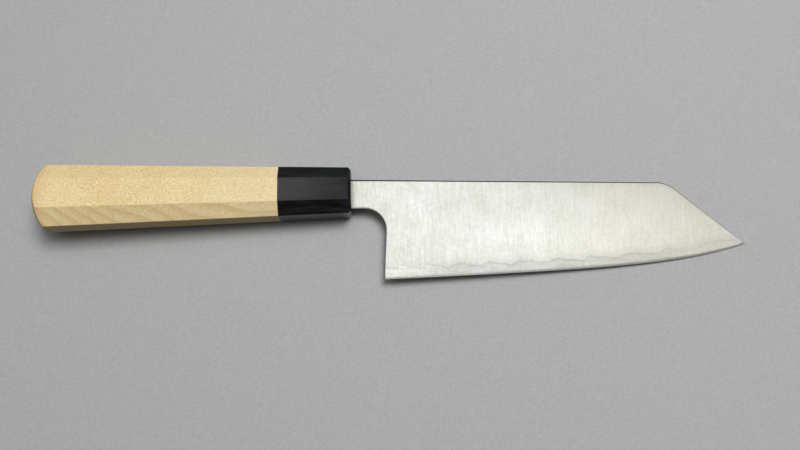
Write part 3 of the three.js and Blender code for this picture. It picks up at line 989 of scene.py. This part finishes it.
def dowel_finish():
    """Raw hardwood of the dowel."""
    material, tree, shader, where = new_finish("dowel_wood")
    values = {
        "Coordinates": where,
        "Ring Slopes": (30.0, 450.0, 330.0),
        "Ring Curve": 0.0,
        "Ring Bend": 1.0,
        "Fleck Length": 0.003,
        "Fleck Width": 0.0004,
        "Fleck Slope": 0.0,
    }
    grain = add(tree, "Group", values, node_tree=GRAIN).outputs
    base = blend(tree, grain["Rings"], paint(188, 152, 108), paint(158, 120, 78))
    fibres = calculate(tree, "MULTIPLY", grain["Fibres"], 0.5)
    inputs = {
        "Base Color": blend(tree, fibres, base, paint(120, 88, 54)),
        "Roughness": spread(tree, grain["Flecks"], 0, 1, 0.75, 0.6),
        "Normal": relief(tree, grain["Fibres"], 3e-5),
    }
    feed(tree, shader, inputs)
    return material


def resin_finish():
    """Hardened dark resin around the tang, a little cloudy."""
    material, tree, shader, where = new_finish("dark_resin")
    clouds = mottle(tree, where, 0.002)
    inputs = {
        "Base Color": blend(tree, clouds, paint(30, 22, 14), paint(52, 38, 24)),
        "Roughness": spread(tree, clouds, 0, 1, 0.3, 0.45),
        "Normal": relief(tree, clouds, 2e-5),
    }
    feed(tree, shader, inputs)
    return material


# Pieces.

cladding_steel = steel_finish("satin_cladding", CLADDING_TONES, CLADDING_BANDS, 0.0)
core_steel = steel_finish("satin_core", CORE_TONES, CORE_BANDS, 0.6)

RIGHT_CORE, LEFT_CORE = (CORE_FACE, 1), (CORE_FACE, -1)
RIGHT_OUTSIDE, LEFT_OUTSIDE = (OUTER_FACE, 1), (OUTER_FACE, -1)
LAYERS = {
    "blade_core": (RIGHT_CORE, LEFT_CORE, EDGE_GUIDE, core_steel, "core_steel"),
    "right_cladding": (RIGHT_OUTSIDE, RIGHT_CORE, LINE_GUIDE, cladding_steel, "cladding_steel"),
    "left_cladding": (LEFT_CORE, LEFT_OUTSIDE, LINE_GUIDE, cladding_steel, "cladding_steel"),
}
BLADE_MARKS = ("line_distance", "spine_share", "bevel_share")
made = {}
for node, (upper, lower, guide, finish, slot) in LAYERS.items():
    sheets = layer_sheets(upper, lower, guide)
    made[node] = (make_piece(node + "_fine", sheets, BLADE_MARKS, BLADE_CREASE), finish, slot)

body_sheet = closed(marked(body_rings(), ring_and_light_shares()))
body = make_piece("handle_body_fine", [body_sheet], ("ring_and_light_share",), HANDLE_CREASE)
made["handle_body"] = (body, wood_finish(), "handle_wood")
cap = make_piece("ferrule_fine", [closed(ferrule_rings())], (), HANDLE_CREASE)
made["ferrule"] = (cap, ferrule_finish(), "ferrule_black")

for node, (piece, finish, slot) in made.items():
    piece.data.materials.append(finish)
    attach(piece, "root")
    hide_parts(node)

for node, finish in (("dowel", dowel_finish()), ("tang_bedding", resin_finish())):
    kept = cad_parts[node]
    kept.data.materials.clear()
    kept.data.materials.append(finish)


# Floor, light and camera.

FLOOR_ROLL = math.tan(math.radians(1.0))  # the floor rises towards the edge side by this slope
FLOOR_HALF = 4.0  # metres
FLOOR_FADE = (0.18, 0.42)  # metres from the knife over which the floor turns into the backdrop
FLOOR_GREYS = paint(170, 170, 170), paint(178, 178, 178)
FLOOR_BOUNCE = paint(108, 108, 108)  # the floor as its bounced light meets the knife
ROOM_LIGHT = 0.05  # grey of the room as it lights the knife
BACKDROP = 0.41  # plain grey of the far floor and the room, as the camera and reflections see it
UPPER_ROOM = 0.27  # the same high up in the room, around the lamps
ROOM_RISE = (0.2, 0.7)  # upward share of a direction over which one turns into the other

CAMERA_PLACE = np.array([16.0285, -98.9637, 389.3974])
CAMERA_RIGHT = (0.99968277, -0.02295179, 0.01037170)
CAMERA_UP = (0.02026915, 0.97756985, 0.20963385)
CAMERA_BACK = (-0.01495053, -0.20935713, 0.97772495)
CAMERA_LENS = 39.256
CAMERA_SENSOR = 36.0
CAMERA_NEAR = 0.01  # metres


def seen_directly(tree):
    """One for camera, glossy and transmission rays, which show the backdrop; zero for the rest."""
    path = add(tree, "LightPath").outputs
    shown = calculate(tree, "MAXIMUM", path["Is Camera Ray"], path["Is Glossy Ray"])
    return calculate(tree, "MAXIMUM", shown, path["Is Transmission Ray"])


def floor_mesh():
    """A plane under the knife: it touches the tip and the lower front ridge of the ferrule."""
    tip = np.array([TIP_X, float(edge_y(TIP_X)), 0.0])
    flat, thick = section_corners(-FERRULE_CHAMFER)[1]
    ridge = np.array([-FERRULE_CHAMFER, -flat, -thick])
    roll_drop = FLOOR_ROLL * (tip[1] - ridge[1])
    pitch = (tip[2] - ridge[2] + roll_drop) / (tip[0] - ridge[0])
    level = ridge[2] - pitch * ridge[0] + FLOOR_ROLL * ridge[1]
    reach = FLOOR_HALF / MM
    corners = np.array([[-reach, -reach], [reach, -reach], [reach, reach], [-reach, reach]])
    height = level + pitch * corners[:, 0] - FLOOR_ROLL * corners[:, 1]
    mesh = bpy.data.meshes.new("floor")
    mesh.from_pydata(place(np.column_stack([corners, height])), [], [(0, 1, 2, 3)])
    return mesh


def floor_finish():
    """Pale matt grey that turns into the plain backdrop far from the knife.

    Bounced light meets a darker floor, so that the knife's lower sides stay in shade.
    """
    material, tree, shader, where = new_finish("pale_floor")
    pale = blend(tree, mottle(tree, where, 0.0012), *FLOOR_GREYS)
    seen = seen_directly(tree)
    inputs = {
        "Base Color": blend(tree, seen, FLOOR_BOUNCE, pale),
        "Roughness": 0.9,
        "Specular IOR Level": 0.1,
    }
    feed(tree, shader, inputs)
    away = add(tree, "VectorMath", {0: where}, operation="LENGTH").outputs["Value"]
    share = calculate(tree, "MULTIPLY", soften(tree, away, *FLOOR_FADE), seen)
    plain = add(tree, "Emission", {"Color": (BACKDROP, BACKDROP, BACKDROP, 1)}).outputs[0]
    surface = add(tree, "MixShader", {0: share, 1: shader.outputs[0], 2: plain}).outputs[0]
    feed(tree, tree.nodes["Material Output"], {"Surface": surface})
    return material


def lay_floor():
    """The floor with its finish, as stage."""
    mesh = floor_mesh()
    floor = bpy.data.objects.new("floor", mesh)
    bpy.context.scene.collection.objects.link(floor)
    mesh.materials.append(floor_finish())


def hang_lamp(name, at, aim, wide, deep, radiance):
    """An oval lamp in metres: power is radiance times pi times the oval's area."""
    lamp = bpy.data.lights.new(name, "AREA")
    lamp.shape = "ELLIPSE"
    lamp.size, lamp.size_y = wide, deep
    lamp.energy = radiance * math.pi * math.pi * wide * deep / 4
    hung = bpy.data.objects.new(name, lamp)
    bpy.context.scene.collection.objects.link(hung)
    back = np.array(at) - np.array(aim)
    back /= np.linalg.norm(back)
    right = np.cross([0, 1, 0], back)
    right /= np.linalg.norm(right)
    turn = Matrix(np.column_stack([right, np.cross(back, right), back]).tolist())
    hung.matrix_world = Matrix.Translation(at) @ turn.to_4x4()
    return hung


def light_room():
    """A grey room, dimmer high up, with a wide ceiling lamp, two panels under it and a soft key.

    Ceiling and panels hang a little behind the knife, where the steel reflects them. The key
    gives the shadows their depth and isn't reflected.
    """
    world = bpy.data.worlds.new("room")
    bpy.context.scene.world = world
    world.use_nodes = True
    tree = world.node_tree
    towards = add(tree, "TexCoord").outputs["Generated"]
    rise = add(tree, "SeparateXYZ", {0: towards}).outputs[2]
    room = soften(tree, rise, *ROOM_RISE, BACKDROP, UPPER_ROOM)
    shown = spread(tree, seen_directly(tree), 0, 1, ROOM_LIGHT, room)
    feed(tree, tree.nodes["Background"], {"Color": shown})
    hang_lamp(
        "ceiling", at=(-0.08, 0.32, 1.2), aim=(-0.08, 0.32, 0), wide=1.6, deep=1.3, radiance=1.15
    )
    hang_lamp(
        "panel", at=(0.35, 0.165, 1.15), aim=(0.05, 0, 0), wide=0.56, deep=0.12, radiance=1.25
    )
    hang_lamp(
        "rear_panel", at=(-0.2, 0.33, 1.18), aim=(-0.04, 0, 0), wide=0.22, deep=0.2, radiance=2.1
    )
    key = hang_lamp(
        "key", at=(0.22, 0.26, 1.2), aim=(0, 0, 0), wide=0.5, deep=0.5, radiance=17.2
    )
    key.visible_glossy = False


def set_camera():
    """A camera at the photograph's place: columns of its turn are right, up and back."""
    camera = bpy.data.cameras.new("camera")
    camera.sensor_width = CAMERA_SENSOR
    camera.lens = CAMERA_LENS
    camera.clip_start = CAMERA_NEAR
    stand = bpy.data.objects.new("camera", camera)
    bpy.context.scene.collection.objects.link(stand)
    turn = Matrix((CAMERA_RIGHT, CAMERA_UP, CAMERA_BACK)).transposed().to_4x4()
    stand.matrix_world = Matrix.Translation(place(CAMERA_PLACE).tolist()) @ turn
    bpy.context.scene.camera = stand


lay_floor()
light_room()
set_camera()
bpy.context.scene.view_settings.view_transform = "Standard"
